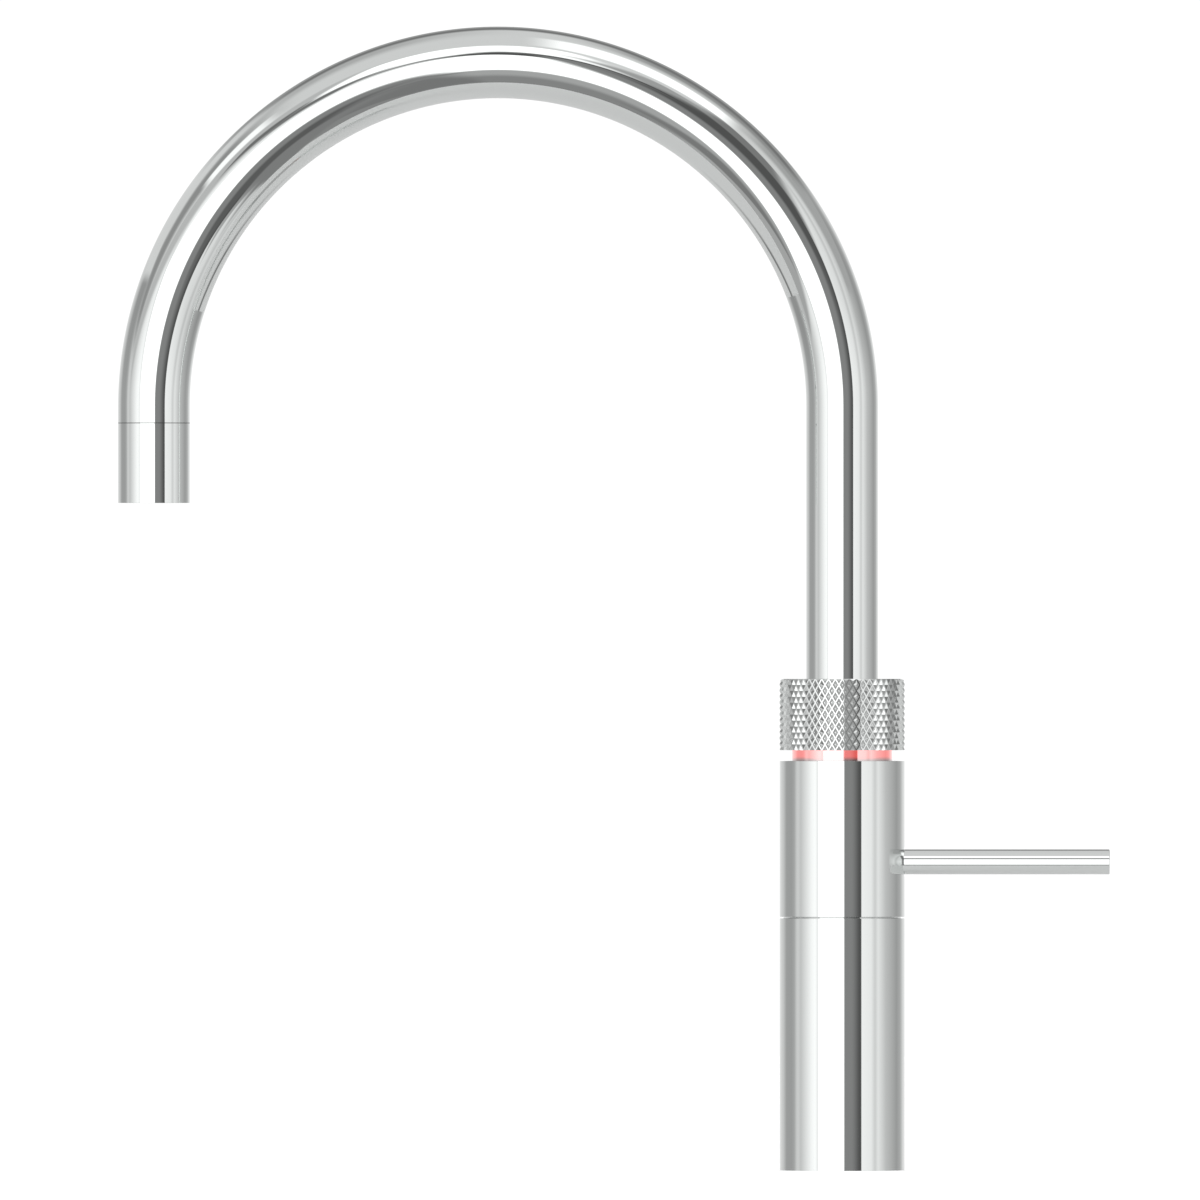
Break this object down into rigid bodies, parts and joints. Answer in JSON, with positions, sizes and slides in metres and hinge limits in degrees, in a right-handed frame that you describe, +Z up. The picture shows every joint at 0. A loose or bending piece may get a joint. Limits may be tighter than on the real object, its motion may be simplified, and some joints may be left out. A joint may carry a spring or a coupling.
{
  "type": "boiling water tap",
  "caption": "Column tap with a swivelling arched spout, a side lever on a turning mixer sleeve, and a knurled push-and-turn ring over a light band for boiling water.",
  "frame": {"origin": "centre of the base, on the worktop's top face", "axes": "+Z up along the column; the spout reaches towards -X and the lever towards +X at rest"},
  "size_m": [0.317, 0.044, 0.4257],
  "materials": {
    "chrome": "polished",
    "brass": "turned",
    "steel": "drawn",
    "black_rubber": "matte",
    "white_ceramic": "lapped",
    "white_plastic": "moulded",
    "dark_plastic": "moulded",
    "circuit_board": "satin",
    "red_light": "glossy, lit red from inside",
    "magnet": "plated"
  },
  "bodies": {
    "column": {"base_sleeve": "chrome", "core_body": "brass", "deck_seal": "black_rubber", "sleeve_o_ring": "black_rubber", "glide_washer": "chrome", "riser_tube": "steel", "mix_disc_fixed": "white_ceramic", "cartridge_nut": "brass", "crown": "white_plastic", "light_board": "circuit_board", "light_ring": "red_light", "boil_disc_fixed": "white_ceramic", "swivel_o_ring_lower": "black_rubber", "swivel_o_ring_upper": "black_rubber", "spout_clip": "steel", "threaded_shank": "brass", "clamp_gasket": "black_rubber", "clamp_washer": "steel", "fixing_nut": "brass", "hot_inlet": "brass", "boiling_inlet": "brass", "cold_inlet": "brass"},
    "mixer": {"mixer_sleeve": "chrome", "mixer_rotor": "white_plastic", "mix_disc_turning": "white_ceramic", "lever_seat": "white_plastic"},
    "lever": {"lever": "chrome"},
    "flow": {"flow_spindle": "steel"},
    "drive": {"drive_sleeve": "dark_plastic", "drive_pin": "steel", "valve_collar": "brass", "boil_disc_turning": "white_ceramic", "knob_clip": "steel", "return_spring": "steel"},
    "knob": {"knurled_knob": "chrome", "sensor_magnet": "magnet"},
    "spout": {"spout_tube": "chrome", "spout_foot": "brass", "inner_hot_tube": "steel", "nozzle": "chrome", "nozzle_o_ring": "black_rubber", "aerator": "dark_plastic"}
  },
  "joints": [
    {"name": "mixer_turn", "type": "hinge", "parent": "column", "child": "mixer", "pos_m": [0, 0, 0.0986], "axis": [0, 0, 1], "range_deg": [-45, 45]},
    {"name": "lever_lift", "type": "hinge", "parent": "mixer", "child": "lever", "pos_m": [0.0175, 0, 0.0986], "axis": [0, -1, 0], "range_deg": [0, 15]},
    {"name": "flow_slide", "type": "slide", "parent": "mixer", "child": "flow", "axis": [0, 0, -1], "range_m": [0, 0.0021]},
    {"name": "boil_turn", "type": "hinge", "parent": "column", "child": "drive", "pos_m": [0, 0, 0.138], "axis": [0, 0, 1], "range_deg": [0, 90]},
    {"name": "boil_push", "type": "slide", "parent": "drive", "child": "knob", "axis": [0, 0, -1], "range_m": [0, 0.003], "stiffness_N_per_m": 2000, "springref_m": -0.004, "deforming": ["return_spring"]},
    {"name": "spout_turn", "type": "hinge", "parent": "column", "child": "spout", "pos_m": [0, 0, 0.146], "axis": [0, 0, 1], "continuous": true}
  ],
  "couplings": [
    {"joint": "flow_slide", "follows": "lever_lift", "m_per_rad": 0.0079}
  ]
}
